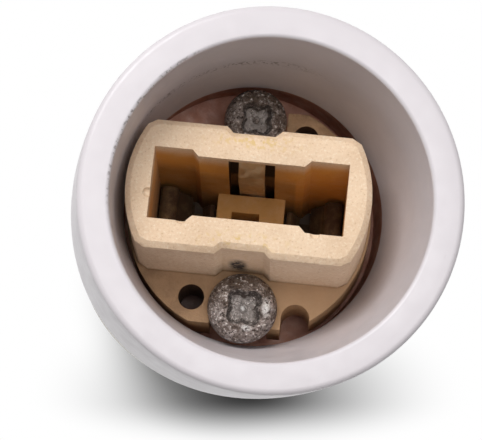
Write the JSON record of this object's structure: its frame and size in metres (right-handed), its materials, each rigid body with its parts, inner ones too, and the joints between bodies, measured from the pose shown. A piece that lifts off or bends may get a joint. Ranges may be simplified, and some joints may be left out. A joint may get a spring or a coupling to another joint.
{
  "type": "lamp socket adapter",
  "caption": "Screw-base lamp socket adapter: white sleeve round a leaning cream ceramic socket with a flat slot for a two-pin capsule bulb.",
  "frame": {"origin": "lowest point of the tip solder, on the axis of the screw base", "axes": "+Z along the axis, out of the mouth of the sleeve; +X along the long side of the bulb slot"},
  "size_m": [0.03, 0.03, 0.051],
  "materials": {
    "white_plastic": "smooth, slightly glossy",
    "brown_phenolic": "satin moulding",
    "steatite": "unglazed, fine grained",
    "back_plate": "unglazed",
    "contact_metal": "dulled plating",
    "spring_steel": "dulled",
    "screw_steel": "worn and dirty",
    "plated_shell": "nickel plated, rolled",
    "dark_glass": "black, smooth",
    "tip_metal": "pressed",
    "solder": "dull solder",
    "tinned_wire": "tinned",
    "lead_sleeve": "woven glass sleeve"
  },
  "bodies": {
    "root": {"outer_sleeve": "white_plastic", "core_moulding": "brown_phenolic", "socket_body": "steatite", "socket_back_plate": "back_plate", "contact_left": "contact_metal", "contact_right": "contact_metal", "bulb_spring": "spring_steel", "mounting_screw_lower": "screw_steel", "mounting_screw_upper": "screw_steel", "screw_shell": "plated_shell", "shell_insulator": "dark_glass", "tip_contact": "tip_metal", "tip_solder": "solder", "lead_centre_core": "tinned_wire", "lead_shell_core": "tinned_wire", "lead_centre_sleeve": "lead_sleeve", "lead_shell_sleeve": "lead_sleeve"}
  },
  "joints": []
}
